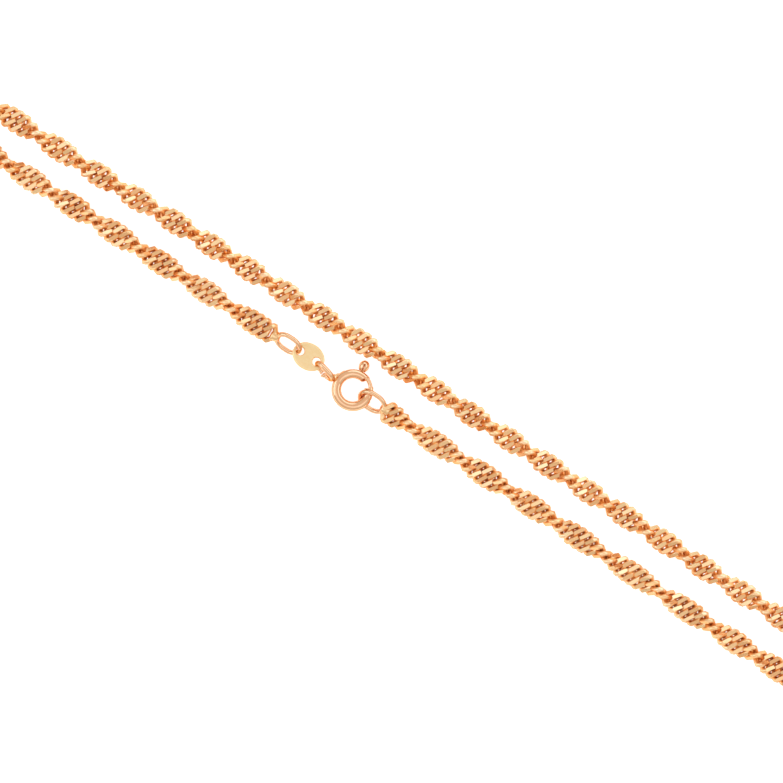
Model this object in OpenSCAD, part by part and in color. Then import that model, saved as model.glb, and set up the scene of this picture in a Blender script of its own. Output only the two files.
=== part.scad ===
// Twisted curb neck chain with a spring ring clasp, laid double on a flat surface.
// The surface is z = 0. +X runs along the two strands, +Y points from the clasp's
// strand to the plain strand, and +Z points up. Lengths are in millimetres.

/* [Chain] */
// Width of the tube that the twisted links sweep out
chain_w = 3.0; // [2.6:0.05:3.1]
// Height of the chain's and the clasp's middle above the surface
mid_z = 1.5; // [1.5:0.05:2]

/* [Clasp ring] */
// Outside diameter of the clasp's ring
clasp_od = 5.5; // [5.4:0.05:5.6]
// Diameter of the hollow tube that the ring is bent from
clasp_tube = 1.24; // [1.2:0.02:1.24]
// Wall of the hollow tube
clasp_wall = 0.1; // [0.08:0.01:0.12]
// Direction of the ring's lower cut end, in degrees
lower_end = 40; // [36:1:44]
// Direction of the ring's upper cut end, in degrees
upper_end = 74; // [70:1:78]

/* [Bolt] */
// Diameter of the bolt's wire
bolt_wire = 0.54; // [0.46:0.02:0.54]
// Width of the trigger knob
knob_w = 1.32; // [1.1:0.02:1.36]
// Direction of the trigger knob when the clasp is shut, in degrees
knob_at = 97.4; // [96:0.2:99]
// How far the bolt slides back round the ring, in degrees
bolt_travel = 38; // [30:1:38]

/* [Tag] */
// Length of the oval tag
tag_l = 4.4; // [4.3:0.05:4.6]
// Width of the oval tag
tag_w = 3.5; // [3:0.1:4]
// Thickness of the tag's sheet
tag_t = 0.4; // [0.3:0.05:0.45]
// Diameter of the tag's two holes
tag_hole = 1.3; // [1.28:0.01:1.34]

/* [Rings and eye] */
// Wire of the two rings that end the chain
ring_wire = 0.62; // [0.56:0.02:0.62]
// Wire of the clasp's eye
eye_wire = 0.56; // [0.5:0.02:0.6]

/* [Hidden] */
$fn = 48;

// The chain's whole route in plan, from the left end ring round to the right one.
route = [
    [-17, -2.6], [-32, -2.7], [-50, -2.8], [-68, -3], [-84.6, -3],
    [-90.6, -4.1], [-95.6, -6.2], [-101, -7], [-105.9, -4.9], [-108, 0],
    [-105.9, 4.9], [-101, 7], [-95.6, 6.2], [-90.6, 4], [-84.6, 2.7],
    [-68, 2.5], [-50, 2.4], [-33, 2.7], [-16, 2.8], [0, 2.8],
    [16, 2.7], [33, 2.6], [50, 2.5], [68, 2.6], [84.6, 2.8],
    [90.6, 4], [95.6, 6.2], [101, 7], [105.9, 4.9], [108, 0],
    [105.9, -4.9], [101, -7], [95.6, -6.2], [90.6, -4.3], [84.6, -3.4],
    [68, -3.3], [51, -3.3], [34, -3.1], [17, -2.9], [1.15, -2.9]
];
// Route point at which the two halves of the chain meet, on the plain strand
route_mid = 19;
// Swept rings in each stretch between two route points
rings_per_stretch = 2;
// Sides of the swept tube
tube_sides = 8;
tube_r = chain_w / 2 / cos(180 / tube_sides);
last_point = len(route) - 1;

// Clasp ring
clasp_x = -4.3;
clasp_y = -2.95;
clasp_mid_r = (clasp_od - clasp_tube) / 2;
clasp_bore = clasp_tube - 2 * clasp_wall;
upper_cut_slant = 12;
upper_cut_waste = 10;
cut_block = 2 * clasp_tube;

// Bolt, trigger knob and the slot that the knob's stem slides in
bolt_gap = 0.05;
bolt_mid_r = clasp_mid_r + clasp_bore / 2 - bolt_wire / 2 - bolt_gap;
bolt_engaged = 6;
bolt_tip = lower_end - bolt_engaged;
bolt_tail = 120;
knob_gap = 0.05;
knob_l = 1.36;
knob_mid_r = clasp_od / 2 + knob_gap + knob_l / 2;
stem_wire = 0.46;
slot_side_gap = 0.08;
slot_h = stem_wire + 2 * slot_side_gap;
slot_end_margin = 9;
slot_end = knob_at + bolt_travel + slot_end_margin;
groove_w = 0.14;
groove_depth = 0.12;

// Tag
tag_x = -11.42;
tag_y = -2.47;
tag_tilt = -8;
tag_hole_left = -12.7 - tag_x;
tag_hole_right = -10.2 - tag_x;
tag_sides = 72;

// Eye of the clasp, an oval wire ring whose cut stays open
eye_x = -8.65;
eye_y = -2.9;
eye_bend_r = 1.05;
eye_straight = 0.6;
eye_tilt = 72;
eye_turn = -14;
eye_cut = 0.2;
solder_r = 0.38;
solder_l = 0.8;
solder_x = -7.6;

// End rings, oval wire rings that stand at a slant. Each has a solder mass, placed
// from the ring's middle towards the chain, with a flat where the chain begins.
left_ring = [-14.53, -2.5];
left_bend_r = 1.43;
left_straight = 0.48;
left_tilt = 53.5;
left_mass = [1.97, 0.1];
left_mass_flat = 2.42;
right_ring = [-1.445, -2.85];
right_bend_r = 1.53;
right_straight = 0.45;
right_tilt = 51;
right_mass = [2.045, -0.05];
right_mass_flat = 2.55;
mass_r = 0.74;
mass_block = 4;

// Distance between route points i and i + 1
function gap_after(i) = norm(route[i + 1] - route[i]);

// Slope of the route at point i, from its neighbours
function slope_at(i) =
    i == 0 ? (route[1] - route[0]) / gap_after(0)
    : i == last_point ? (route[i] - route[i - 1]) / gap_after(i - 1)
    : (route[i + 1] - route[i - 1]) / (gap_after(i) + gap_after(i - 1));

// Place on the smooth curve at share t of the stretch after point i
function place(i, t) =
    (2 * pow(t, 3) - 3 * pow(t, 2) + 1) * route[i]
    + (pow(t, 3) - 2 * pow(t, 2) + t) * gap_after(i) * slope_at(i)
    + (3 * pow(t, 2) - 2 * pow(t, 3)) * route[i + 1]
    + (pow(t, 3) - pow(t, 2)) * gap_after(i) * slope_at(i + 1);

// All ring centres along the route
centres = [
    for (i = [0 : last_point - 1])
        for (j = [0 : rings_per_stretch - 1])
            place(i, j / rings_per_stretch),
    route[last_point]
];
last_ring = len(centres) - 1;
mid_ring = route_mid * rings_per_stretch;

// Direction of the route at ring k, in plan
function heading(k) =
    let (d = k == 0 ? slope_at(0)
             : k == last_ring ? slope_at(last_point)
             : centres[k + 1] - centres[k - 1])
    d / norm(d);

// Corners of ring k, which stands square to the route
function ring_corners(k) =
    let (h = heading(k), side = [-h[1], h[0]])
    [for (s = [0 : tube_sides - 1])
        let (a = (s + 0.5) * 360 / tube_sides)
        [centres[k][0] + side[0] * tube_r * cos(a),
         centres[k][1] + side[1] * tube_r * cos(a),
         mid_z + tube_r * sin(a)]];

// Tube swept through the rings from first to last
module swept_tube(first, last) {
    rows = last - first + 1;
    corners = [for (k = [first : last]) each ring_corners(k)];
    sides = [
        for (r = [0 : rows - 2])
            for (s = [0 : tube_sides - 1])
                let (next = (s + 1) % tube_sides)
                [r * tube_sides + s, (r + 1) * tube_sides + s,
                 (r + 1) * tube_sides + next, r * tube_sides + next]
    ];
    start_cap = [[for (s = [0 : tube_sides - 1]) s]];
    end_cap = [[for (s = [tube_sides - 1 : -1 : 0]) (rows - 1) * tube_sides + s]];
    polyhedron(corners, concat(sides, start_cap, end_cap));
}

// Oval ring of round wire, flat in the XY plane, longer along X
module oval_ring(wire, bend_r, straight) {
    for (end = [0, 1])
        mirror([end, 0, 0])
            translate([straight / 2, 0, 0])
                rotate([0, 0, -90])
                    rotate_extrude(angle = 180)
                        translate([bend_r, 0])
                            circle(d = wire);
    for (side = [-1, 1])
        translate([-straight / 2, side * bend_r, 0])
            rotate([0, 90, 0])
                cylinder(d = wire, h = straight);
}

// Slanted end ring about the origin, with the solder mass that the last link is
// sunk into on its +X side
module end_ring(bend_r, straight, tilt, mass, mass_flat) {
    rotate([tilt, 0, 0])
        oval_ring(ring_wire, bend_r, straight);
    intersection() {
        translate([mass[0], mass[1], 0])
            sphere(r = mass_r);
        translate([0, -mass_block / 2, -mass_block / 2])
            cube([mass_flat, mass_block, mass_block]);
    }
}

// Bent round bar about the clasp's middle, from one direction to another
module ring_bar(mid_r, wire, from, to) {
    rotate([0, 0, from])
        rotate_extrude(angle = to - from)
            translate([mid_r, 0])
                circle(d = wire);
}

module chain_left() {
    color("#e3a77c")
        swept_tube(0, mid_ring);
}

module chain_right() {
    color("#e3a77c")
        swept_tube(mid_ring, last_ring);
}

module end_ring_left() {
    color("#e8b184")
        translate([left_ring[0], left_ring[1], mid_z])
            rotate([0, 0, 180])
                end_ring(left_bend_r, left_straight, -left_tilt, left_mass, left_mass_flat);
}

module end_ring_right() {
    color("#e8b184")
        translate([right_ring[0], right_ring[1], mid_z])
            end_ring(right_bend_r, right_straight, right_tilt, right_mass, right_mass_flat);
}

module tag() {
    outline = [for (k = [0 : tag_sides - 1])
        let (a = k * 360 / tag_sides)
        [tag_l / 2 * cos(a), tag_w / 2 * sin(a)]];
    color("#f0cf98")
        translate([tag_x, tag_y, mid_z])
            rotate([tag_tilt, 0, 0])
                translate([0, 0, -tag_t / 2])
                    difference() {
                        linear_extrude(tag_t)
                            polygon(outline);
                        for (x = [tag_hole_left, tag_hole_right])
                            translate([x, 0, -1])
                                cylinder(d = tag_hole, h = tag_t + 2);
                    }
}

// Oval eye with its open cut, and the solder that joins it to the ring's tube
module eye() {
    difference() {
        translate([eye_x, eye_y, mid_z])
            rotate([0, 0, eye_turn])
                rotate([eye_tilt, 0, 0])
                    oval_ring(eye_wire, eye_bend_r, eye_straight);
        translate([eye_x - eye_cut / 2, eye_y - 2, mid_z - 2])
            cube([eye_cut, 2, 2]);
    }
    translate([solder_x, eye_y, mid_z])
        rotate([0, 90, 0])
            cylinder(r = solder_r, h = solder_l);
}

// Tube of the clasp's ring before it is bored, with its upper end cut at a slant
module ring_tube() {
    difference() {
        ring_bar(clasp_mid_r, clasp_tube, upper_end - upper_cut_waste, 360 + lower_end);
        rotate([0, 0, upper_end])
            translate([clasp_mid_r, 0, 0])
                rotate([0, 0, -upper_cut_slant])
                    translate([-cut_block / 2, -cut_block, -cut_block / 2])
                        cube(cut_block);
    }
}

// Slot in the outer wall for the knob's stem
module stem_slot() {
    rotate([0, 0, lower_end])
        rotate_extrude(angle = slot_end - lower_end)
            translate([clasp_mid_r + clasp_bore / 4, -slot_h / 2])
                square([clasp_tube, slot_h]);
}

module clasp_body() {
    color("#e9b285")
        difference() {
            union() {
                translate([clasp_x, clasp_y, mid_z])
                    ring_tube();
                eye();
            }
            translate([clasp_x, clasp_y, mid_z]) {
                rotate_extrude()
                    translate([clasp_mid_r, 0])
                        circle(d = clasp_bore);
                stem_slot();
            }
        }
}

// Round-ended trigger knob that points outwards, with a groove on both faces
module knob() {
    half = (knob_l - knob_w) / 2;
    difference() {
        union() {
            for (end = [-half, half])
                translate([knob_mid_r + end, 0, 0])
                    sphere(d = knob_w);
            translate([knob_mid_r - half, 0, 0])
                rotate([0, 90, 0])
                    cylinder(d = knob_w, h = 2 * half);
        }
        for (face = [0, 1])
            mirror([0, 0, face])
                translate([knob_mid_r - knob_l, -groove_w / 2, knob_w / 2 - groove_depth])
                    cube([2 * knob_l, groove_w, knob_w]);
    }
}

module trigger_bolt() {
    color("#e0a075")
        translate([clasp_x, clasp_y, mid_z]) {
            ring_bar(bolt_mid_r, bolt_wire, bolt_tip, bolt_tail);
            rotate([0, 0, knob_at]) {
                translate([bolt_mid_r, 0, 0])
                    rotate([0, 90, 0])
                        cylinder(d = stem_wire, h = knob_mid_r - bolt_mid_r);
                knob();
            }
        }
}

chain_left();
chain_right();
end_ring_left();
tag();
clasp_body();
trigger_bolt();
end_ring_right();
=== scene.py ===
"""Twisted curb neck chain with a spring ring clasp: finished meshes, finishes and studio.

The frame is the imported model's own: +X runs along the two strands, +Y from the clasp's
strand to the plain strand and +Z up to the camera. Sizes in the classes are in
millimetres and are turned to metres where a mesh is made.
"""
import logging
import math
from collections.abc import Callable, Sequence
from dataclasses import dataclass, field
from enum import Enum

import bpy
import numpy as np
from mathutils import Matrix, Vector


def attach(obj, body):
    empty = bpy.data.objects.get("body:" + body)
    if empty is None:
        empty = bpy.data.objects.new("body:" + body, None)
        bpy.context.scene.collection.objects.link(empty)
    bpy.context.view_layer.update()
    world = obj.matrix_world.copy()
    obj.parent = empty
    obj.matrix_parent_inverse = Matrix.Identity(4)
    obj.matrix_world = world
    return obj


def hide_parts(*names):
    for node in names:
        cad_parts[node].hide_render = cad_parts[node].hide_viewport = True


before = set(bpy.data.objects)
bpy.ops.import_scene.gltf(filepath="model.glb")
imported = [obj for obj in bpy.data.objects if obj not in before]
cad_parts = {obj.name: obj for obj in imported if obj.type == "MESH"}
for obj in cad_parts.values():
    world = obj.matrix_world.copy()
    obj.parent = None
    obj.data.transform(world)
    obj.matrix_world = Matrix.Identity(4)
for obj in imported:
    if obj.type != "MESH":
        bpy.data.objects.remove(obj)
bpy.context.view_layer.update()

log = logging.getLogger("neck_chain")

Triple = tuple[float, float, float]

MM = 0.001
NECKLACE = "necklace"
BOLT = "bolt"
# Corners closer than this are one corner, in metres
WELD = 0.0005 * MM
# Edges that turn more sharply than this are rounded off, in radians
RIM_ANGLE = math.radians(50)

# The chain's route in plan, in metres, the same points as the part's source has
ROUTE = (
    (-0.017, -0.0026), (-0.032, -0.0027), (-0.050, -0.0028), (-0.068, -0.003),
    (-0.0846, -0.003), (-0.0906, -0.0041), (-0.0956, -0.0062), (-0.101, -0.007),
    (-0.1059, -0.0049), (-0.108, 0.0), (-0.1059, 0.0049), (-0.101, 0.007),
    (-0.0956, 0.0062), (-0.0906, 0.004), (-0.0846, 0.0027), (-0.068, 0.0025),
    (-0.050, 0.0024), (-0.033, 0.0027), (-0.016, 0.0028), (0.0, 0.0028),
    (0.016, 0.0027), (0.033, 0.0026), (0.050, 0.0025), (0.068, 0.0026),
    (0.0846, 0.0028), (0.0906, 0.004), (0.0956, 0.0062), (0.101, 0.007),
    (0.1059, 0.0049), (0.108, 0.0), (0.1059, -0.0049), (0.101, -0.007),
    (0.0956, -0.0062), (0.0906, -0.0043), (0.0846, -0.0034), (0.068, -0.0033),
    (0.051, -0.0033), (0.034, -0.0031), (0.017, -0.0029), (0.00115, -0.0029),
)


class Run(Enum):
    """The three runs of the route, in the order in which it passes them."""

    CLASP_LEFT = "from the left end ring to the left bend"
    PLAIN = "the plain strand"
    CLASP_RIGHT = "from the right bend to the right end ring"


class Tone(Enum):
    """Tones of rose gold plate, from the palest to the deepest."""

    STRAW = "#f7d9a8"
    STRAW_DEEP = "#f4cf97"
    CREAM = "#efc097"
    PALE = "#f1c998"
    WARM = "#ebb783"
    MIDDLE = "#e8b085"
    LIGHT = "#fcd1a5"
    DEEP = "#f8c48d"
    EDGE = "#e9a060"


def linear(code: str) -> tuple[float, float, float, float]:
    """Turns an sRGB hex colour into linear light.

    Args:
        code: The colour as "#rrggbb".

    Returns:
        Red, green, blue and an alpha of one.
    """
    parts = (int(code[k:k + 2], 16) / 255 for k in (1, 3, 5))
    r, g, b = (c / 12.92 if c <= 0.04045 else ((c + 0.055) / 1.055) ** 2.4 for c in parts)
    return (r, g, b, 1.0)


def add_node(
    tree: bpy.types.NodeTree,
    kind: str,
    inputs: dict[str | int, object] | None = None,
    **settings: object,
) -> bpy.types.Node:
    """Adds a node with its settings and links.

    Args:
        tree: The tree that takes the node.
        kind: The node's Blender name.
        inputs: For each input, by name or number, a value or the socket linked to it.
        settings: The node's own properties.

    Returns:
        The new node.
    """
    node = tree.nodes.new(kind)
    for name, value in settings.items():
        setattr(node, name, value)
    for key, value in (inputs or {}).items():
        if isinstance(value, bpy.types.NodeSocket):
            tree.links.new(value, node.inputs[key])
        else:
            node.inputs[key].default_value = value
    return node


def deselect_all() -> None:
    """Leaves nothing selected, so that an operator acts on its own piece alone."""
    bpy.ops.object.select_all(action="DESELECT")


def make_active(piece: bpy.types.Object) -> None:
    """Selects one piece alone and makes it the active one.

    Args:
        piece: The piece that the next operator acts on.
    """
    deselect_all()
    piece.select_set(True)
    bpy.context.view_layer.objects.active = piece


def apply_modifier(piece: bpy.types.Object, kind: str, **settings: object) -> None:
    """Adds a modifier with its settings and applies it at once.

    Args:
        piece: The piece that is shaped.
        kind: The modifier's Blender name.
        settings: The modifier's properties.
    """
    make_active(piece)
    modifier = piece.modifiers.new(kind.lower(), kind)
    for name, value in settings.items():
        setattr(modifier, name, value)
    bpy.ops.object.modifier_apply(modifier=modifier.name)


def enter_edit(piece: bpy.types.Object, mode: str) -> None:
    """Opens edit mode on one piece with nothing selected.

    Args:
        piece: The piece.
        mode: What is selected next, as VERT, EDGE or FACE.
    """
    make_active(piece)
    bpy.ops.object.mode_set(mode="EDIT")
    bpy.ops.mesh.select_mode(type=mode)
    bpy.ops.mesh.select_all(action="DESELECT")


def select_corners(piece: bpy.types.Object, inside: Callable[[Vector], bool]) -> None:
    """Selects a piece's corners by their place and stays in edit mode.

    Args:
        piece: The piece, in edit mode or out of it.
        inside: Says whether a corner at a place is wanted, in metres.
    """
    enter_edit(piece, "VERT")
    bpy.ops.object.mode_set(mode="OBJECT")
    for corner in piece.data.vertices:
        corner.select = inside(corner.co)
    bpy.ops.object.mode_set(mode="EDIT")


def select_faces(piece: bpy.types.Object, inside: Callable[[Vector], bool]) -> None:
    """Selects a piece's faces by their middle and stays in edit mode.

    Args:
        piece: The piece, in edit mode or out of it.
        inside: Says whether a face with its middle at a place is wanted, in metres.
    """
    enter_edit(piece, "FACE")
    bpy.ops.object.mode_set(mode="OBJECT")
    for face in piece.data.polygons:
        face.select = inside(face.center)
    bpy.ops.object.mode_set(mode="EDIT")


def leave_edit() -> None:
    """Goes back to object mode."""
    bpy.ops.object.mode_set(mode="OBJECT")


def settle(
    piece: bpy.types.Object,
    turn_deg: Triple = (0.0, 0.0, 0.0),
    place: Triple = (0.0, 0.0, 0.0),
) -> None:
    """Turns a piece, moves it and puts both in its mesh.

    Args:
        piece: The piece, modelled about the origin.
        turn_deg: Turns about X, then Y, then Z, in degrees.
        place: Where the piece's origin goes, in millimetres.
    """
    make_active(piece)
    piece.rotation_euler = [math.radians(a) for a in turn_deg]
    piece.location = [a * MM for a in place]
    bpy.ops.object.transform_apply(location=True, rotation=True, scale=True)


def join(pieces: Sequence[bpy.types.Object], name: str) -> bpy.types.Object:
    """Joins pieces into the first one.

    Args:
        pieces: The pieces, at least one.
        name: The joined piece's name.

    Returns:
        The joined piece.
    """
    deselect_all()
    for piece in pieces:
        piece.select_set(True)
    bpy.context.view_layer.objects.active = pieces[0]
    if len(pieces) > 1:
        bpy.ops.object.join()
    pieces[0].name = pieces[0].data.name = name
    return pieces[0]


def fuse(piece: bpy.types.Object, voxel_mm: float, rounds: int) -> None:
    """Runs a piece's overlapping parts together, as solder does, and smooths the seams.

    Args:
        piece: The piece, made of closed parts.
        voxel_mm: The grain that the surface is rebuilt at.
        rounds: How often the surface is smoothed.
    """
    apply_modifier(piece, "REMESH", mode="VOXEL", voxel_size=voxel_mm * MM)
    apply_modifier(piece, "SMOOTH", factor=0.5, iterations=rounds)
    make_active(piece)
    bpy.ops.object.shade_smooth()


def dress(piece: bpy.types.Object, finish: bpy.types.Material) -> None:
    """Gives a piece one finish all over."""
    piece.data.materials.clear()
    piece.data.materials.append(finish)


def hand_over(piece: bpy.types.Object, body: str, slot: str, *nodes: str) -> None:
    """Puts a finished piece on its body and hides the nodes that it stands for.

    Args:
        piece: The finished piece, which sits at the origin.
        body: The body that it rides on.
        slot: The name of a material slot; not used.
        nodes: The nodes that it replaces.
    """
    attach(piece, body)
    if nodes:
        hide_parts(*nodes)
    log.info("%s: %d faces on %s", piece.name, len(piece.data.polygons), body)


@dataclass(frozen=True)
class PlatedMetal:
    """Gold plate over silver, as one way of working the metal leaves it.

    The mottle is the cloudiness of the plate, and the lines are what wheels and dies leave.
    Both are given by their size in millimetres. The lines are drawn coarser than the real
    ones, which are too fine to show.
    """

    name: str
    light: Tone
    dark: Tone
    roughness: float
    roughness_spread: float
    mottle_mm: float
    line_mm: float
    line_depth: float
    tone_attribute: str = ""
    # Where on the mottle the light tone ends and the dark one is reached
    tone_stops: tuple[float, float] = (0.2, 0.8)
    # Share of the mottle in a link's tone, the rest being the link's own
    mottle_share: float = 0.25
    # Values of the mottle between which the roughness changes
    mottle_range: tuple[float, float] = (0.25, 0.75)
    line_stretch: float = 0.06
    line_relief_mm: float = 0.01

    def material(self) -> bpy.types.Material:
        """Builds the material from Object coordinates and, on links, each link's own tone.

        Returns:
            The material.
        """
        made = bpy.data.materials.new(self.name)
        made.use_nodes = True
        tree = made.node_tree
        shader = tree.nodes["Principled BSDF"]
        place = add_node(tree, "ShaderNodeTexCoord").outputs["Object"]
        mottle = add_node(
            tree, "ShaderNodeTexNoise",
            {"Vector": place, "Scale": 1 / (self.mottle_mm * MM), "Detail": 3.0, "Roughness": 0.6},
        ).outputs["Fac"]
        tone = mottle
        if self.tone_attribute:
            own = add_node(tree, "ShaderNodeAttribute", attribute_name=self.tone_attribute)
            tone = add_node(
                tree, "ShaderNodeMix",
                {0: self.mottle_share, 2: own.outputs["Fac"], 3: mottle}, data_type="FLOAT",
            ).outputs[0]
        ramp = add_node(tree, "ShaderNodeValToRGB", {"Fac": tone})
        stops = zip(ramp.color_ramp.elements, self.tone_stops, (self.light, self.dark))
        for stop, position, colour in stops:
            stop.position = position
            stop.color = linear(colour.value)
        tree.links.new(ramp.outputs["Color"], shader.inputs["Base Color"])
        shader.inputs["Metallic"].default_value = 1.0
        shader.inputs["Specular Tint"].default_value = linear(Tone.EDGE.value)
        spread = add_node(
            tree, "ShaderNodeMapRange",
            {"Value": mottle, "From Min": self.mottle_range[0],
             "From Max": self.mottle_range[1],
             "To Min": self.roughness - self.roughness_spread,
             "To Max": self.roughness + self.roughness_spread},
        ).outputs["Result"]
        tree.links.new(spread, shader.inputs["Roughness"])
        stretched = add_node(
            tree, "ShaderNodeMapping", {"Vector": place, "Scale": (1.0, self.line_stretch, 1.0)}
        ).outputs["Vector"]
        lines = add_node(
            tree, "ShaderNodeTexNoise",
            {"Vector": stretched, "Scale": 1 / (self.line_mm * MM), "Detail": 2.0},
        ).outputs["Fac"]
        bump = add_node(
            tree, "ShaderNodeBump",
            {"Height": lines, "Strength": self.line_depth,
             "Distance": self.line_relief_mm * MM},
        ).outputs["Normal"]
        tree.links.new(bump, shader.inputs["Normal"])
        return made


LINK_TONE = "link_tone"

# Wire that was drawn, wound into links and tumbled: a soft shine that goes warm between links
DRAWN_WIRE = PlatedMetal(
    name="rose_gold_plate_on_drawn_wire", light=Tone.LIGHT, dark=Tone.DEEP,
    roughness=0.31, roughness_spread=0.04, mottle_mm=0.9, line_mm=0.04, line_depth=0.01,
    tone_attribute=LINK_TONE,
)

# Faces that a cutter took off the finished chain: flat and crisp, with a tone for each link
CUT_FACE = PlatedMetal(
    name="rose_gold_plate_on_cut_faces", light=Tone.PALE, dark=Tone.WARM,
    roughness=0.26, roughness_spread=0.03, mottle_mm=0.7, line_mm=0.05, line_depth=0.02,
    tone_attribute=LINK_TONE,
)

# Wire bent into a ring, soldered shut and buffed: broad soft streaks that follow the bend
BUFFED_WIRE = PlatedMetal(
    name="rose_gold_plate_on_buffed_wire", light=Tone.CREAM, dark=Tone.MIDDLE,
    roughness=0.17, roughness_spread=0.03, mottle_mm=1.1, line_mm=0.1, line_depth=0.03,
)

# Solder that ran over a joint under the plate: smooth, a little duller and paler than the wire
SOLDER = PlatedMetal(
    name="rose_gold_plate_over_solder", light=Tone.PALE, dark=Tone.WARM,
    roughness=0.26, roughness_spread=0.05, mottle_mm=0.5, line_mm=0.12, line_depth=0.12,
)

# Thin tube bent round a former and buffed bright: sharp streaks along the ring
BENT_TUBE = PlatedMetal(
    name="rose_gold_plate_on_bent_tube", light=Tone.CREAM, dark=Tone.MIDDLE,
    roughness=0.08, roughness_spread=0.02, mottle_mm=1.4, line_mm=0.12, line_depth=0.02,
)

# Sheet stamped to shape and left satin, under paler gold: even, without a mirror in it
STAMPED_SHEET = PlatedMetal(
    name="pale_gold_plate_on_stamped_sheet", light=Tone.STRAW, dark=Tone.STRAW_DEEP,
    roughness=0.42, roughness_spread=0.04, mottle_mm=0.35, line_mm=0.05, line_depth=0.5,
)


@dataclass
class Route:
    """The smooth curve that the chain's middle follows, with its heading and its length.

    All its distances are in metres.
    """

    points: Sequence[tuple[float, float]]
    # Samples between two points
    steps: int = 48
    # Straight stretch past each end, for links that reach over it
    spare: float = 4.0 * MM
    length: float = field(init=False)

    def __post_init__(self) -> None:
        """Samples the curve finely and measures it."""
        p = np.array(self.points)
        gaps = np.hypot(*np.diff(p, axis=0).T)
        slopes = np.empty_like(p)
        slopes[0] = (p[1] - p[0]) / gaps[0]
        slopes[-1] = (p[-1] - p[-2]) / gaps[-1]
        slopes[1:-1] = (p[2:] - p[:-2]) / (gaps[1:] + gaps[:-1])[:, None]
        t = np.linspace(0, 1, self.steps, endpoint=False)[:, None]
        parts = [
            (2 * t**3 - 3 * t**2 + 1) * p[i] + (t**3 - 2 * t**2 + t) * gaps[i] * slopes[i]
            + (3 * t**2 - 2 * t**3) * p[i + 1] + (t**3 - t**2) * gaps[i] * slopes[i + 1]
            for i in range(len(gaps))
        ]
        fine = np.concatenate([
            [p[0] - self.spare * slopes[0]], *parts, [p[-1]], [p[-1] + self.spare * slopes[-1]]
        ])
        along = np.concatenate([[0.0], np.cumsum(np.hypot(*np.diff(fine, axis=0).T))])
        self._along = along - self.spare
        self._fine = fine
        turn = np.gradient(fine, along, axis=0)
        self._heading = np.unwrap(np.arctan2(turn[:, 1], turn[:, 0]))
        self.length = float(self._along[-1] - self.spare)

    def place(self, along: np.ndarray) -> tuple[np.ndarray, np.ndarray]:
        """Finds points on the curve.

        Args:
            along: Distances along the curve from its start.

        Returns:
            The points in plan, and the headings there as angles.
        """
        spots = np.stack([np.interp(along, self._along, self._fine[:, k]) for k in (0, 1)], -1)
        return spots, np.interp(along, self._along, self._heading)

    def reach(self, x: float, run: Run) -> float:
        """Finds how far along the curve a run passes a given x.

        Args:
            x: The place along the strands.
            run: The run that is meant.

        Returns:
            The distance along the curve.
        """
        left = int(np.argmin(self._fine[:, 0]))
        right = int(np.argmax(self._fine[:, 0]))
        part = {
            Run.CLASP_LEFT: slice(0, left + 1),
            Run.PLAIN: slice(left, right + 1),
            Run.CLASP_RIGHT: slice(right, len(self._fine)),
        }[run]
        xs, along = self._fine[part, 0], self._along[part]
        if xs[0] > xs[-1]:
            xs, along = xs[::-1], along[::-1]
        return float(np.interp(x, xs, along))


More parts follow.
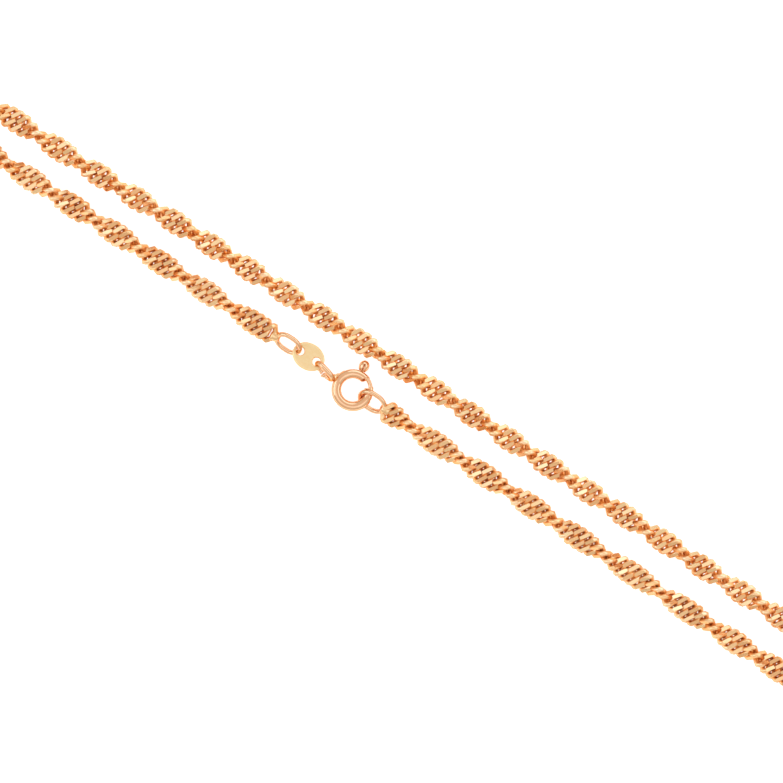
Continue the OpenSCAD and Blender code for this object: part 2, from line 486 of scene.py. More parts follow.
@dataclass
class CurbLink:
    """One link: round wire bent to a rounded diamond that rises at two corners, and cut flat."""

    wire: float = 0.76
    rise: float = 0.2
    # How far from the link's middle both faces are cut
    cut_height: float = 0.45
    # Least upright share of a cut face's normal
    level: float = 0.999
    # A quarter of the wire's line: along the chain, across it, and its share of the rise
    quarter: tuple[Triple, ...] = (
        (-0.7, 0.0, 0.0), (-0.74, 0.3, 0.95), (-0.44, 0.74, 1.0), (-0.2, 1.16, 0.9),
        (0.0, 1.23, 0.0),
    )

    def line(self) -> list[Triple]:
        """Turns the quarter about the three axes into the whole closed line.

        Returns:
            The wire's middle, bend by bend, in millimetres.
        """
        ways = (((1, 1, 1), 1), ((-1, 1, -1), -1), ((-1, -1, 1), 1), ((1, -1, -1), -1))
        return [
            (turn[0] * x, turn[1] * y, turn[2] * lift * self.rise)
            for turn, step in ways for x, y, lift in self.quarter[::step][:-1]
        ]

    def model(self, finishes: Sequence[bpy.types.Material]) -> bpy.types.Object:
        """Bends and cuts the link about the origin.

        Args:
            finishes: The drawn wire's material and the cut faces' one.

        Returns:
            The link, long way across the chain.
        """
        line = self.line()
        deselect_all()
        bpy.ops.curve.primitive_bezier_circle_add(radius=MM)
        link = bpy.context.object
        link.name = "curb_link"
        bpy.ops.object.mode_set(mode="EDIT")
        bpy.ops.curve.select_all(action="SELECT")
        bpy.ops.curve.subdivide(number_cuts=len(line) // 4 - 1)
        bpy.ops.curve.handle_type_set(type="AUTOMATIC")
        bpy.ops.object.mode_set(mode="OBJECT")
        for bend, place in zip(link.data.splines[0].bezier_points, line):
            bend.co = Vector(place) * MM
        link.data.dimensions = "3D"
        # One stretch from bend to bend and a wire of six sides keep each link to few faces
        link.data.resolution_u = 1
        link.data.bevel_depth = self.wire / 2 * MM
        link.data.bevel_resolution = 1
        bpy.ops.object.convert(target="MESH")
        link = bpy.context.object
        bpy.ops.object.mode_set(mode="EDIT")
        bpy.ops.mesh.select_all(action="SELECT")
        bpy.ops.mesh.remove_doubles(threshold=WELD)
        bpy.ops.mesh.normals_make_consistent(inside=False)
        bpy.ops.object.mode_set(mode="OBJECT")
        link.data.materials.clear()
        for finish in finishes:
            link.data.materials.append(finish)
        self._cut_flat(link)
        return link

    def _cut_flat(self, link: bpy.types.Object) -> None:
        """Cuts both faces flat and keeps the cuts' rims crisp.

        Args:
            link: The bent wire, with the cut faces' material in its second slot.
        """
        bpy.ops.object.mode_set(mode="EDIT")
        for side in (1, -1):
            bpy.ops.mesh.select_all(action="SELECT")
            bpy.ops.mesh.bisect(
                plane_co=(0, 0, side * self.cut_height * MM), plane_no=(0, 0, side),
                use_fill=True, clear_outer=True, threshold=WELD,
            )
        bpy.ops.mesh.select_all(action="DESELECT")
        bpy.ops.object.mode_set(mode="OBJECT")
        bpy.ops.object.shade_smooth()
        mesh = link.data
        flat = {
            face.index for face in mesh.polygons
            if abs(abs(face.center.z) - self.cut_height * MM) < WELD
            and abs(face.normal.z) > self.level
        }
        for index in flat:
            mesh.polygons[index].material_index = 1
        sides: dict[tuple[int, int], list[int]] = {}
        for face in mesh.polygons:
            for key in face.edge_keys:
                sides.setdefault(key, []).append(face.index)
        for edge in mesh.edges:
            kinds = {index in flat for index in sides[tuple(sorted(edge.vertices))]}
            edge.select = len(kinds) == 2
        bpy.ops.object.mode_set(mode="EDIT")
        bpy.ops.mesh.select_mode(type="EDGE")
        bpy.ops.mesh.mark_sharp()
        bpy.ops.mesh.select_all(action="DESELECT")
        bpy.ops.object.mode_set(mode="OBJECT")


@dataclass
class TwistedChain:
    """The whole run of links, as two pieces that meet on the plain strand."""

    route: Route
    link: CurbLink
    # Height of the links' middles, at which the lowest ones touch the surface
    mid_height: float = 1.6
    # Places along the strands at which the chain stands on its edge
    edge_left: tuple[float, ...] = (-15.0, -23.5, -30.4, -37.4, -44.2)
    edge_plain: tuple[float, ...] = (
        -49.7, -43.9, -38.1, -32.5, -26.7, -21.2, -15.5, -9.6, -3.9, 1.9, 7.5, 13.3, 19.1, 25.5,
        31.1, 37.1, 43.2, 49.1, 55.2,
    )
    edge_right: tuple[float, ...] = (51.4, 43.3, 34.6, 26.9, 19.6, 12.5, 4.6)
    # Length of a half turn where the bends hide the chain's roll
    half_turn: float = 6.4
    # Steps from link to link on the three runs, and where along the strands they change
    pitch_left: float = 0.96
    pitch_plain: float = 1.02
    pitch_right: float = 0.945
    pitch_change: float = 80.0
    # How far the first and the last link's middles stand from the route's ends
    first_link: float = 0.35
    last_link: float = 0.09
    wobble_deg: float = 1.8
    # How much slower the roll is where the chain lies flat, in radians
    ease: float = 0.12
    seed: int = 11

    def edge_stations(self) -> np.ndarray:
        """Lists how far along the curve the chain stands on its edge, once for each half turn.

        Returns:
            The distances, in metres, with the unseen ends filled in evenly.
        """
        seen = [
            [self.route.reach(x * MM, run) for x in places]
            for run, places in (
                (Run.CLASP_LEFT, self.edge_left), (Run.PLAIN, self.edge_plain),
                (Run.CLASP_RIGHT, self.edge_right),
            )
        ]
        stations = list(seen[0])
        for group in seen[1:]:
            gap = group[0] - stations[-1]
            count = round(gap / (self.half_turn * MM))
            stations += [stations[-1] + gap * k / count for k in range(1, count)] + group
        return np.array(stations)

    def roll(self, along: np.ndarray, stations: np.ndarray) -> np.ndarray:
        """Gives the chain's roll about its line.

        Args:
            along: Distances along the curve.
            stations: The edge stations.

        Returns:
            The roll in radians, zero where the chain lies flat.
        """
        turns = math.pi / 2 + math.pi * np.arange(len(stations))
        rate_in = math.pi / (stations[1] - stations[0])
        rate_out = math.pi / (stations[-1] - stations[-2])
        inside = np.interp(along, stations, turns)
        before = np.minimum(along - stations[0], 0) * rate_in
        after = np.maximum(along - stations[-1], 0) * rate_out
        even = inside + before + after
        return even - self.ease * np.sin(2 * even)

    def link_places(self) -> np.ndarray:
        """Steps along the curve from link to link and fits the steps to its length.

        Returns:
            The distances of the links' middles from the curve's start, in metres.
        """
        change = self.pitch_change * MM
        knots = [
            0.0, self.route.reach(-change, Run.CLASP_LEFT), self.route.reach(-change, Run.PLAIN),
            self.route.reach(change, Run.PLAIN), self.route.reach(change, Run.CLASP_RIGHT),
            self.route.length,
        ]
        pitches = [self.pitch_left] * 2 + [self.pitch_plain] * 2 + [self.pitch_right] * 2
        places = [self.first_link * MM]
        while places[-1] < self.route.length:
            places.append(places[-1] + MM * float(np.interp(places[-1], knots, pitches)))
        end = self.route.length - self.last_link * MM
        start = places[0]
        return start + (np.array(places[:-1]) - start) * (end - start) / (places[-2] - start)

    def build(self) -> list[bpy.types.Object]:
        """Lays the links along the route.

        Returns:
            The left piece and the right piece.
        """
        finishes = [DRAWN_WIRE.material(), CUT_FACE.material()]
        pattern = self.link.model(finishes)
        places = self.link_places()
        stations = self.edge_stations()
        meeting = self.route.reach(0.0, Run.PLAIN)
        rng = np.random.default_rng(self.seed)
        tilts = rng.normal(0.0, math.radians(self.wobble_deg), (len(places), 3))
        tones = rng.uniform(0.0, 1.0, len(places))
        pieces = []
        halves = (("chain_left", places < meeting), ("chain_right", places >= meeting))
        for name, inside in halves:
            copies = [
                self._lay(pattern, places[k], stations, tilts[k], tones[k])
                for k in np.flatnonzero(inside)
            ]
            piece = join(copies, name + "_links")
            hand_over(piece, NECKLACE, "chain", name)
            log.info("%s: %d links", piece.name, len(copies))
            pieces.append(piece)
        bpy.data.objects.remove(pattern)
        return pieces

    def _lay(
        self, pattern: bpy.types.Object, at: float, stations: np.ndarray,
        tilt: np.ndarray, tone: float,
    ) -> bpy.types.Object:
        """Copies the link and lays the copy on the route.

        Args:
            pattern: The modelled link.
            at: The distance of the copy's middle along the curve.
            stations: The edge stations.
            tilt: Small turns that no two links share, in radians.
            tone: The link's own tone, from pale at 0 to deep at 1.

        Returns:
            The copy, with its own mesh.
        """
        copy = pattern.copy()
        copy.data = pattern.data.copy()
        bpy.context.collection.objects.link(copy)
        mesh = copy.data
        corners = np.empty(len(mesh.vertices) * 3)
        mesh.vertices.foreach_get("co", corners)
        turned = Matrix.Rotation(tilt[0], 3, "X") @ Matrix.Rotation(tilt[1], 3, "Y") \
            @ Matrix.Rotation(tilt[2], 3, "Z")
        corners = corners.reshape(-1, 3) @ np.array(turned).T
        along = at + corners[:, 0]
        spots, heading = self.route.place(along)
        roll = float(self.roll(np.array([at]), stations)[0])
        across = corners[:, 1] * math.cos(roll) - corners[:, 2] * math.sin(roll)
        up = corners[:, 1] * math.sin(roll) + corners[:, 2] * math.cos(roll)
        corners = np.column_stack([
            spots[:, 0] - np.sin(heading) * across, spots[:, 1] + np.cos(heading) * across,
            up + self.mid_height * MM,
        ])
        mesh.vertices.foreach_set("co", corners.ravel())
        mark = mesh.attributes.new(LINK_TONE, "FLOAT", "POINT")
        mark.data.foreach_set("value", np.full(len(mesh.vertices), tone))
        return copy


# Where the clasp's ring has its middle, about which the bolt slides
CLASP_MIDDLE = (-4.3, -2.95, 1.5)


def oval_wire_ring(
    bend_r: float, straight: float, wire: float, steps: int, sides: int
) -> bpy.types.Object:
    """Models an oval ring of round wire flat about the origin, longer along X.

    Args:
        bend_r: Radius of the bends to the wire's middle, in millimetres.
        straight: Length of the straight runs.
        wire: The wire's diameter.
        steps: Corners once round the ring.
        sides: Corners once round the wire.

    Returns:
        The ring.
    """
    deselect_all()
    bpy.ops.mesh.primitive_torus_add(
        major_radius=bend_r * MM, minor_radius=wire / 2 * MM,
        major_segments=steps, minor_segments=sides,
    )
    ring = bpy.context.object
    for side in (1, -1):
        select_corners(ring, lambda co, side=side: side * co.x > 0.01 * MM)
        bpy.ops.transform.translate(value=(side * straight / 2 * MM, 0, 0))
        leave_edit()
    return ring


def solder_bead(radii: Triple, at: Triple) -> bpy.types.Object:
    """Models one rounded bead of solder.

    Args:
        radii: Its half sizes along X, Y and Z, in millimetres.
        at: Its middle.

    Returns:
        The bead.
    """
    deselect_all()
    bpy.ops.mesh.primitive_ico_sphere_add(subdivisions=4, radius=MM)
    bead = bpy.context.object
    enter_edit(bead, "VERT")
    bpy.ops.mesh.select_all(action="SELECT")
    bpy.ops.transform.resize(value=radii)
    bpy.ops.transform.translate(value=tuple(a * MM for a in at))
    leave_edit()
    return bead


@dataclass
class EndRing:
    """Slanted oval ring that ends the chain, with the solder that grips the last link."""

    name: str
    node: str
    middle: tuple[float, float]
    bend_r: float
    straight: float
    tilt: float
    # Half sizes and middles of the solder's beads, away from the ring's middle
    beads: tuple[tuple[Triple, Triple], ...]
    wire: float = 0.62
    mid_height: float = 1.5
    steps: int = 72
    sides: int = 20
    voxel: float = 0.045
    smooth_rounds: int = 8

    def build(self, finish: bpy.types.Material, solder: bpy.types.Material) -> bpy.types.Object:
        """Bends the ring, runs its solder in and dresses both.

        Args:
            finish: The wire's material.
            solder: The solder's material.

        Returns:
            The ring.
        """
        ring = oval_wire_ring(self.bend_r, self.straight, self.wire, self.steps, self.sides)
        settle(ring, (self.tilt, 0, 0))
        beads = [solder_bead(radii, at) for radii, at in self.beads]
        ring = join([ring, *beads], self.name)
        fuse(ring, self.voxel, self.smooth_rounds)
        settle(ring, place=(*self.middle, self.mid_height))
        dress(ring, finish)
        ring.data.materials.append(solder)
        # Past the wire's bend there is solder, on the side that the beads are on
        reach = self.bend_r + self.straight / 2 - self.wire / 4
        side = math.copysign(1.0, self.beads[0][1][0])
        for face in ring.data.polygons:
            out = side * (face.center.x - self.middle[0] * MM)
            face.material_index = int(out > reach * MM)
        hand_over(ring, NECKLACE, "end_ring", self.node)
        return ring


@dataclass
class OvalTag:
    """Oval sheet tag with two holes and softened edges, its face left bare."""

    length: float = 4.4
    width: float = 3.5
    sheet: float = 0.4
    hole: float = 1.08
    middle: Triple = (-11.42, -2.47, 1.5)
    holes_at: tuple[float, float] = (-12.7, -10.2)
    tilt: float = -8.0
    # How far the stamping rounds the tag's edges, and in how many steps
    edge: float = 0.19
    edge_steps: int = 4
    rim_sides: int = 96
    hole_sides: int = 48
    smooth_deg: float = 35.0

    def build(self, finish: bpy.types.Material) -> bpy.types.Object:
        """Stamps the tag, punches it, softens its edges and dresses it.

        Args:
            finish: The sheet's material.

        Returns:
            The tag.
        """
        deselect_all()
        bpy.ops.mesh.primitive_circle_add(
            vertices=self.rim_sides, radius=self.length / 2 * MM, fill_type="NGON",
            location=(0, 0, -self.sheet / 2 * MM),
        )
        tag = bpy.context.object
        bpy.ops.object.transform_apply(location=True)
        enter_edit(tag, "FACE")
        bpy.ops.mesh.select_all(action="SELECT")
        bpy.ops.transform.resize(value=(1, self.width / self.length, 1))
        bpy.ops.mesh.extrude_region_move(
            TRANSFORM_OT_translate={"value": (0, 0, self.sheet * MM)}
        )
        bpy.ops.mesh.select_all(action="SELECT")
        bpy.ops.mesh.normals_make_consistent(inside=False)
        leave_edit()
        for x in self.holes_at:
            self._punch(tag, x - self.middle[0])
        apply_modifier(
            tag, "BEVEL", width=self.edge * MM, segments=self.edge_steps, limit_method="ANGLE",
            angle_limit=RIM_ANGLE,
        )
        make_active(tag)
        bpy.ops.object.shade_smooth_by_angle(angle=math.radians(self.smooth_deg))
        settle(tag, (self.tilt, 0, 0), self.middle)
        tag.name = tag.data.name = "oval_tag"
        dress(tag, finish)
        hand_over(tag, NECKLACE, "tag", "tag")
        return tag

    def _punch(self, tag: bpy.types.Object, x: float) -> None:
        """Cuts one round hole.

        Args:
            tag: The flat tag about the origin.
            x: The hole's distance from the tag's middle, in millimetres.
        """
        deselect_all()
        bpy.ops.mesh.primitive_cylinder_add(
            vertices=self.hole_sides, radius=self.hole / 2 * MM, depth=4 * self.sheet * MM,
            location=(x * MM, 0, 0),
        )
        punch = bpy.context.object
        apply_modifier(tag, "BOOLEAN", operation="DIFFERENCE", object=punch, solver="EXACT")
        bpy.data.objects.remove(punch)


@dataclass
class SpringRing:
    """The clasp's ring: a thin tube with a gap and a slot, and the open eye soldered to it.

    Its ends and its slot are given by their direction from the ring's middle, in degrees.
    """

    middle: Triple = CLASP_MIDDLE
    mid_r: float = 2.13
    tube: float = 1.24
    wall: float = 0.1
    lower_end: float = 40.0
    upper_end: float = 72.4
    # The upper end's cut, turned about the vertical and leant back so that it faces up a little
    upper_slant: float = 15.1
    upper_lean: float = 18.0
    # Length of tube that the slanted cut takes its waste from, and how far round it may reach
    spare: float = 12.0
    cut_reach: float = 20.0
    slot_end: float = 148.0
    # Half the slot's opening, as an angle about the tube's own middle
    slot_half: float = 30.0
    steps: int = 90
    sides: int = 36
    rim: float = 0.025
    rim_steps: int = 2
    flare: float = 1.05
    # Reach along the tube of the corners that make up its end
    end_reach: float = 0.02
    smooth_deg: float = 40.0
    eye_middle: Triple = (-8.65, -2.9, 1.5)
    eye_bend_r: float = 1.05
    eye_straight: float = 0.6
    eye_wire: float = 0.7
    eye_tilt: float = 75.0
    eye_turn: float = -14.0
    eye_cut: float = 0.1
    eye_steps: int = 64
    eye_sides: int = 20
    # How far the bent ends droop on both sides of the cut, from one place to another
    eye_drops: tuple[Triple, ...] = (
        (-0.16, 0.0, 0.05), (0.0, 0.16, 0.26), (0.16, 0.5, 0.14),
    )
    # Half sizes and middles of the solder's beads, and the x at which the solder begins
    eye_beads: tuple[tuple[Triple, Triple], ...] = (
        ((0.5, 0.42, 0.42), (-7.2, -2.92, 1.5)), ((0.28, 0.62, 0.3), (-6.98, -2.75, 1.5)),
    )
    solder_from: float = -7.45
    voxel: float = 0.04
    smooth_rounds: int = 6

    def build(
        self, finish: bpy.types.Material, wire: bpy.types.Material, solder: bpy.types.Material
    ) -> bpy.types.Object:
        """Bends the tube and the eye, solders them and dresses them.

        Args:
            finish: The tube's material.
            wire: The eye's material.
            solder: The solder's material.

        Returns:
            The ring with its eye.
        """
        tube = self._tube()
        dress(tube, finish)
        eye = self._eye()
        dress(eye, wire)
        eye.data.materials.append(solder)
        for face in eye.data.polygons:
            face.material_index = int(face.center.x > self.solder_from * MM)
        ring = join([tube, eye], "spring_ring")
        hand_over(ring, NECKLACE, "clasp", "clasp_body")
        return ring

    def _tube(self) -> bpy.types.Object:
        """Spins the tube, slots it, gives it its wall and softens its rims.

        Returns:
            The tube, at its place.
        """
        start = math.radians(self.upper_end - self.spare)
        end = math.radians(360 + self.lower_end)
        deselect_all()
        bpy.ops.mesh.primitive_circle_add(
            vertices=self.sides, radius=self.tube / 2 * MM,
            location=(self.mid_r * math.cos(start) * MM, self.mid_r * math.sin(start) * MM, 0),
            rotation=(math.pi / 2, 0, start),
        )
        tube = bpy.context.object
        bpy.ops.object.transform_apply(location=True, rotation=True)
        enter_edit(tube, "VERT")
        bpy.ops.mesh.select_all(action="SELECT")
        bpy.ops.mesh.spin(steps=self.steps, angle=end - start, center=(0, 0, 0), axis=(0, 0, -1))
        bpy.ops.mesh.select_all(action="SELECT")
        bpy.ops.mesh.remove_doubles(threshold=WELD)
        bpy.ops.mesh.normals_make_consistent(inside=False)
        leave_edit()
        self._turn_outward(tube)
        self._cut_upper_end(tube)
        centre = Vector((math.cos(end), math.sin(end), 0)) * self.mid_r * MM
        along = Vector((-math.sin(end), math.cos(end), 0))
        select_corners(
            tube, lambda co: abs((co - centre).dot(along)) < self.end_reach * MM
            and (co - centre).length < self.tube * MM
        )
        bpy.ops.transform.resize(value=(self.flare,) * 3, center_override=centre)
        leave_edit()
        select_faces(tube, self._in_slot)
        bpy.ops.mesh.delete(type="FACE")
        leave_edit()
        apply_modifier(
            tube, "SOLIDIFY", thickness=self.wall * MM, offset=-1.0, use_even_offset=True
        )
        apply_modifier(
            tube, "BEVEL", width=self.rim * MM, segments=self.rim_steps, limit_method="ANGLE",
            angle_limit=RIM_ANGLE,
        )
        make_active(tube)
        bpy.ops.object.shade_smooth_by_angle(angle=math.radians(self.smooth_deg))
        settle(tube, place=self.middle)
        return tube

    def _cut_upper_end(self, tube: bpy.types.Object) -> None:
        """Cuts the upper end aslant, so that its hollow is seen from above.

        Args:
            tube: The open tube about the origin.
        """
        end = math.radians(self.upper_end)
        cut = math.radians(self.upper_end - self.upper_slant)
        lean = math.radians(self.upper_lean)
        select_faces(
            tube, lambda co: abs(math.degrees(math.atan2(co.y, co.x)) - self.upper_end)
            < self.cut_reach
        )
        bpy.ops.mesh.bisect(
            plane_co=(self.mid_r * math.cos(end) * MM, self.mid_r * math.sin(end) * MM, 0),
            plane_no=(
                math.sin(cut) * math.cos(lean), -math.cos(cut) * math.cos(lean), math.sin(lean)
            ),
            clear_outer=True, threshold=WELD,
        )
        leave_edit()

    def _turn_outward(self, tube: bpy.types.Object) -> None:
        """Turns the open tube's faces outward if the spin left them facing in.

        Args:
            tube: The open tube about the origin.
        """
        face = tube.data.polygons[0]
        angle = math.atan2(face.center.y, face.center.x)
        middle = Vector((math.cos(angle), math.sin(angle), 0)) * self.mid_r * MM
        if face.normal.dot(face.center - middle) < 0:
            enter_edit(tube, "FACE")
            bpy.ops.mesh.select_all(action="SELECT")
            bpy.ops.mesh.flip_normals()
            leave_edit()

    def _in_slot(self, middle: Vector) -> bool:
        """Says whether a face of the tube is where the knob's stem slides.

        Args:
            middle: The face's middle, with the tube about the origin.

        Returns:
            True if the slot takes the face away.
        """
        angle = math.degrees(math.atan2(middle.y, middle.x))
        out = math.hypot(middle.x, middle.y) - self.mid_r * MM
        across = math.degrees(math.atan2(middle.z, out))
        return 0 < angle < self.slot_end and abs(across) < self.slot_half

    def _eye(self) -> bpy.types.Object:
        """Bends the eye, opens its cut and runs its solder to the tube.

        Returns:
            The eye with its solder, at its place.
        """
        eye = oval_wire_ring(
            self.eye_bend_r, self.eye_straight, self.eye_wire, self.eye_steps, self.eye_sides
        )
        half = self.eye_cut / 2 * MM
        for side in (1, -1):
            select_faces(
                eye, lambda co: co.y < 0 and abs(co.x) < self.eye_straight / 2 * MM
            )
            bpy.ops.mesh.bisect(
                plane_co=(side * half, 0, 0), plane_no=(1, 0, 0), threshold=WELD
            )
            leave_edit()
        select_faces(eye, lambda co: co.y < 0 and abs(co.x) < half)
        bpy.ops.mesh.delete(type="FACE")
        leave_edit()
        for side in (1, -1):
            select_corners(eye, lambda co, x=side * half: co.y < 0 and abs(co.x - x) < WELD)
            bpy.ops.mesh.edge_face_add()
            leave_edit()
        tilt = math.radians(self.eye_tilt)
        for low, high, drop in self.eye_drops:
            select_corners(
                eye, lambda co, low=low, high=high: co.y < 0 and low * MM < co.x < high * MM
            )
            bpy.ops.transform.translate(
                value=(0, -drop * math.cos(tilt) * MM, drop * math.sin(tilt) * MM)
            )
            leave_edit()
        settle(eye, (self.eye_tilt, 0, 0))
        settle(eye, (0, 0, self.eye_turn), self.eye_middle)
        beads = [solder_bead(radii, at) for radii, at in self.eye_beads]
        eye = join([eye, *beads], "eye")
        fuse(eye, self.voxel, self.smooth_rounds)
        return eye


@dataclass
class TriggerBolt:
    """The sliding bolt: bent wire, its stem and the grooved knob.

    Its ends and its knob are given by their direction from the ring's middle, in degrees.
    """

    middle: Triple = CLASP_MIDDLE
    wire: float = 0.54
    mid_r: float = 2.33
    tip: float = 34.0
    tail: float = 120.0
    # Each rounding step of the wire's ends: how far it goes and what width it leaves
    end_steps: tuple[tuple[float, float], ...] = ((0.09, 0.86), (0.06, 0.72))
    end_reach: float = 0.005
    steps: int = 36
    sides: int = 20
    smooth_deg: float = 40.0
    knob_w: float = 1.32
    # How far the knob reaches out and in from its widest place
    knob_outer: float = 0.73
    knob_inner: float = 0.9
    knob_at: float = 97.4
    # Distances of its widest place and its flat foot from the ring's middle
    knob_mid_r: float = 3.42
    knob_foot_r: float = 2.68
    knob_segments: int = 48
    stem: float = 0.46
    groove_l: float = 1.04
    groove_w: float = 0.22
    groove_depth: float = 0.5
    # How far the groove's middle lies inwards of the knob's widest place
    groove_in: float = 0.18
    groove_segments: int = 32

    def build(self, finish: bpy.types.Material) -> bpy.types.Object:
        """Bends the bolt, sets its stem and knob and dresses it.

        Args:
            finish: The bolt's material.

        Returns:
            The bolt.
        """
        bolt = self._bar()
        for part in (self._stem(), self._knob()):
            apply_modifier(bolt, "BOOLEAN", operation="UNION", object=part, solver="EXACT")
            bpy.data.objects.remove(part)
        bolt.name = bolt.data.name = "trigger_bolt_wire"
        make_active(bolt)
        bpy.ops.object.shade_smooth_by_angle(angle=math.radians(self.smooth_deg))
        settle(bolt, place=self.middle)
        dress(bolt, finish)
        hand_over(bolt, BOLT, "bolt", "trigger_bolt")
        return bolt

    def _bar(self) -> bpy.types.Object:
        """Spins the bent wire and rounds its two tips.

        Returns:
            The wire, about the ring's middle as the origin.
        """
        start = math.radians(self.tip)
        deselect_all()
        bpy.ops.mesh.primitive_circle_add(
            vertices=self.sides, radius=self.wire / 2 * MM, fill_type="NOTHING",
            location=(self.mid_r * math.cos(start) * MM, self.mid_r * math.sin(start) * MM, 0),
            rotation=(math.pi / 2, 0, start),
        )
        bar = bpy.context.object
        bpy.ops.object.transform_apply(location=True, rotation=True)
        enter_edit(bar, "VERT")
        bpy.ops.mesh.select_all(action="SELECT")
        bpy.ops.mesh.spin(
            steps=self.steps, angle=math.radians(self.tail - self.tip), center=(0, 0, 0),
            axis=(0, 0, -1),
        )
        leave_edit()
        for angle, way in ((start, -1), (math.radians(self.tail), 1)):
            along = Vector((-math.sin(angle), math.cos(angle), 0)) * way
            centre = Vector((math.cos(angle), math.sin(angle), 0)) * self.mid_r * MM
            select_corners(
                bar, lambda co: abs((co - centre).dot(along)) < self.end_reach * MM
                and (co - centre).length < self.wire * MM
            )
            for step, width in self.end_steps:
                centre = centre + along * step * MM
                bpy.ops.mesh.extrude_region_move(
                    TRANSFORM_OT_translate={"value": along * step * MM}
                )
                bpy.ops.transform.resize(value=(width,) * 3, center_override=centre)
            bpy.ops.mesh.edge_face_add()
            leave_edit()
        enter_edit(bar, "FACE")
        bpy.ops.mesh.select_all(action="SELECT")
        bpy.ops.mesh.remove_doubles(threshold=WELD)
        bpy.ops.mesh.normals_make_consistent(inside=False)
        leave_edit()
        return bar

    def _stem(self) -> bpy.types.Object:
        """Sets the stem that joins the wire to the knob through the slot.

        Returns:
            The stem, about the ring's middle as the origin.
        """
        length = self.knob_mid_r - self.mid_r
        deselect_all()
        bpy.ops.mesh.primitive_cylinder_add(
            vertices=self.sides, radius=self.stem / 2 * MM, depth=length * MM,
            rotation=(0, math.pi / 2, 0), location=((self.mid_r + length / 2) * MM, 0, 0),
        )
        stem = bpy.context.object
        bpy.ops.object.transform_apply(location=True, rotation=True)
        settle(stem, (0, 0, self.knob_at))
        return stem

    def _knob(self) -> bpy.types.Object:
        """Rounds the knob and cuts the groove that parts its two lobes on both faces.

        Returns:
            The knob, about the ring's middle as the origin.
        """
        deselect_all()
        bpy.ops.mesh.primitive_uv_sphere_add(
            segments=self.knob_segments, ring_count=self.knob_segments // 2,
            radius=self.knob_w / 2 * MM, rotation=(0, math.pi / 2, 0),
        )
        knob = bpy.context.object
        bpy.ops.object.transform_apply(rotation=True)
        for side, reach in ((1, self.knob_outer), (-1, self.knob_inner)):
            select_corners(knob, lambda co, side=side: side * co.x > WELD)
            bpy.ops.transform.resize(
                value=(reach / (self.knob_w / 2), 1, 1), center_override=(0, 0, 0)
            )
            leave_edit()
        enter_edit(knob, "VERT")
        bpy.ops.mesh.select_all(action="SELECT")
        bpy.ops.mesh.bisect(
            plane_co=((self.knob_foot_r - self.knob_mid_r) * MM, 0, 0), plane_no=(-1, 0, 0),
            use_fill=True, clear_outer=True, threshold=WELD,
        )
        leave_edit()
        for face in (1, -1):
            deselect_all()
            bpy.ops.mesh.primitive_uv_sphere_add(
                segments=self.groove_segments, ring_count=self.groove_segments // 2, radius=1.0,
                scale=(self.groove_l / 2 * MM, self.groove_w / 2 * MM, self.groove_depth * MM),
                location=(-self.groove_in * MM, 0, face * self.knob_w / 2 * MM),
            )
            cutter = bpy.context.object
            bpy.ops.object.transform_apply(location=True, scale=True)
            apply_modifier(knob, "BOOLEAN", operation="DIFFERENCE", object=cutter, solver="EXACT")
            bpy.data.objects.remove(cutter)
        settle(knob, place=(self.knob_mid_r, 0, 0))
        settle(knob, (0, 0, self.knob_at))
        return knob


@dataclass(frozen=True)
class Softbox:
    """One soft light: where it hangs over the chain, how large it is and how bright.

    The angles are in degrees, the distance and the sizes in metres.
    """

    name: str
    azimuth: float
    elevation: float
    width: float
    height: float
    radiance: float
    distance: float = 1.4
    # Cool light over a warmer sky turns the metal's bright places cream, not yellow
    tint: Triple = (0.56, 0.95, 1.28)

    def hang(self) -> bpy.types.Object:
        """Makes the light and turns it to the chain.

        Returns:
            The light's object.
        """
        light = bpy.data.lights.new(self.name, "AREA")
        light.shape = "RECTANGLE"
        light.size, light.size_y = self.width, self.height
        light.energy = self.radiance * math.pi * self.width * self.height
        light.color = self.tint
        hung = bpy.data.objects.new(self.name, light)
        bpy.context.scene.collection.objects.link(hung)
        a, e = math.radians(self.azimuth), math.radians(self.elevation)
        way = Vector((math.cos(a) * math.cos(e), math.sin(a) * math.cos(e), math.sin(e)))
        hung.location = way * self.distance
        hung.rotation_euler = way.to_track_quat("Z", "Y").to_euler()
        hung.visible_camera = False
        return hung


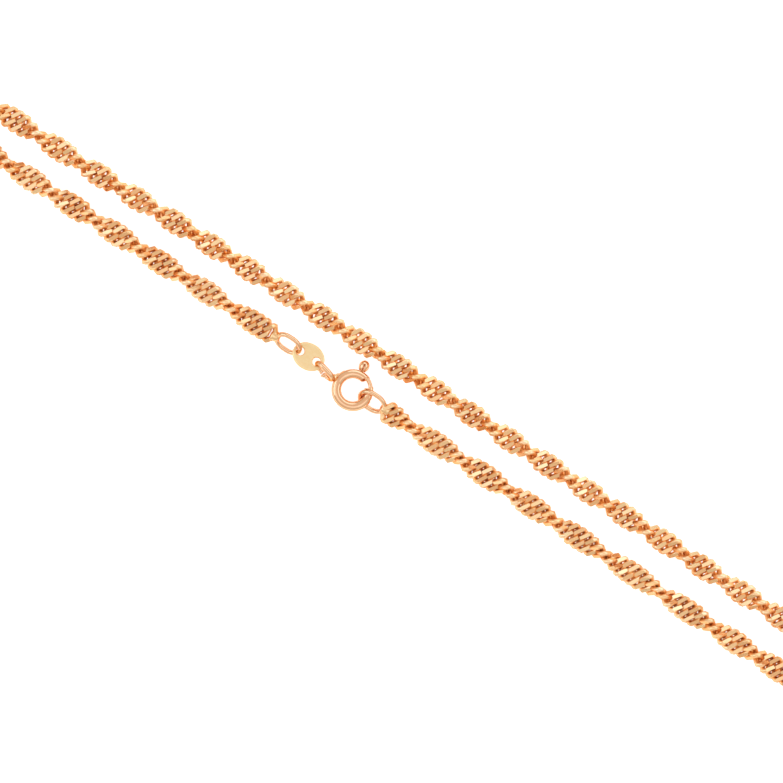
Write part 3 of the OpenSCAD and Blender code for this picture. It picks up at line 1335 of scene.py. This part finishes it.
@dataclass
class Studio:
    """Pale floor, soft lights and the camera straight above the chain."""

    # Width of the picture, 783 pixels at 7.75 pixels a millimetre
    frame_mm: float = 783 / 7.75
    camera_roll: float = 33.06
    camera_y: float = -0.4
    lens: float = 180.0
    sensor: float = 36.0
    middle_height: float = 1.5
    # Side of the floor in metres, its paint and the glow that keeps it evenly white
    floor_size: float = 8.0
    floor_paint: str = "#fbfbfb"
    floor_roughness: float = 0.9
    floor_glow: float = 0.5
    # The sky's light by the cosine of the angle from straight above, from the horizon up
    sky: tuple[tuple[float, Triple], ...] = (
        (0.0, (0.65, 0.64, 0.6)), (0.15, (0.74, 0.73, 0.68)), (0.5, (0.86, 0.84, 0.79)),
        (0.86, (0.88, 0.86, 0.8)), (0.96, (0.93, 0.86, 0.81)), (1.0, (0.95, 0.86, 0.83)),
    )
    # By name, azimuth, elevation, width, height and radiance
    softboxes: tuple[Softbox, ...] = (
        Softbox("softbox_near", 275, 74, 1.8, 0.68, 0.58),
        Softbox("softbox_far", 98, 27, 1.9, 0.95, 1.05),
        Softbox("softbox_left", 207, 34, 0.9, 0.8, 1.28),
        Softbox("softbox_right", 35, 34, 1.1, 0.8, 0.92),
    )

    def build(self) -> None:
        """Makes the floor, the sky light, the lights and the camera."""
        self._floor()
        world = bpy.data.worlds.new("studio_walls")
        bpy.context.scene.world = world
        world.use_nodes = True
        tree = world.node_tree
        walls = tree.nodes["Background"]
        way = add_node(tree, "ShaderNodeTexCoord").outputs["Generated"]
        cosine = add_node(tree, "ShaderNodeSeparateXYZ", {"Vector": way}).outputs["Z"]
        ramp = add_node(tree, "ShaderNodeValToRGB", {"Fac": cosine})
        while len(ramp.color_ramp.elements) < len(self.sky):
            ramp.color_ramp.elements.new(0.5)
        for stop, (height, light) in zip(ramp.color_ramp.elements, self.sky):
            stop.position = height
            stop.color = (*light, 1.0)
        tree.links.new(ramp.outputs["Color"], walls.inputs["Color"])
        for softbox in self.softboxes:
            softbox.hang()
        self._camera()
        log.info("studio: %d softboxes", len(self.softboxes))

    def _floor(self) -> None:
        """Makes the plain pale floor that the chain lies on."""
        deselect_all()
        bpy.ops.mesh.primitive_grid_add(
            x_subdivisions=2, y_subdivisions=2, size=self.floor_size, location=(0, 0, 0)
        )
        floor = bpy.context.object
        floor.name = "floor"
        white = bpy.data.materials.new("matt_white_board")
        white.use_nodes = True
        shader = white.node_tree.nodes["Principled BSDF"]
        shader.inputs["Base Color"].default_value = linear(self.floor_paint)
        shader.inputs["Roughness"].default_value = self.floor_roughness
        shader.inputs["Emission Color"].default_value = (1, 1, 1, 1)
        shader.inputs["Emission Strength"].default_value = self.floor_glow
        floor.data.materials.append(white)

    def _camera(self) -> None:
        """Makes the camera, which looks straight down with the photograph's turn."""
        lens = bpy.data.cameras.new("camera")
        lens.sensor_width = self.sensor
        lens.lens = self.lens
        lens.clip_start, lens.clip_end = 0.01, 20
        camera = bpy.data.objects.new("camera", lens)
        bpy.context.scene.collection.objects.link(camera)
        far = self.frame_mm * self.lens / self.sensor
        camera.location = (0, self.camera_y * MM, (self.middle_height + far) * MM)
        camera.rotation_euler = (0, 0, math.radians(self.camera_roll))
        bpy.context.scene.camera = camera


LEFT_END_RING = EndRing(
    name="end_ring_left_wire", node="end_ring_left", middle=(-14.53, -2.5),
    bend_r=1.43, straight=0.48, tilt=53.5,
    beads=(((0.62, 0.68, 0.6), (-1.85, -0.1, 0.0)), ((0.36, 0.92, 0.55), (-2.26, -0.06, 0.0))),
)
RIGHT_END_RING = EndRing(
    name="end_ring_right_wire", node="end_ring_right", middle=(-1.36, -2.85),
    bend_r=1.53, straight=0.45, tilt=51.0,
    beads=(((0.62, 0.7, 0.6), (1.84, 0.08, 0.0)), ((0.5, 0.8, 0.56), (2.34, 0.22, 0.0))),
)


def main() -> None:
    """Builds the studio and the pieces in order."""
    logging.basicConfig(level=logging.INFO, format="%(name)s: %(message)s")
    bpy.context.scene.view_settings.view_transform = "Standard"
    Studio().build()
    TwistedChain(Route(ROUTE), CurbLink()).build()
    wire, solder = BUFFED_WIRE.material(), SOLDER.material()
    LEFT_END_RING.build(wire, solder)
    RIGHT_END_RING.build(wire, solder)
    OvalTag().build(STAMPED_SHEET.material())
    SpringRing().build(BENT_TUBE.material(), wire, solder)
    TriggerBolt().build(wire)


if __name__ == "__main__":
    main()
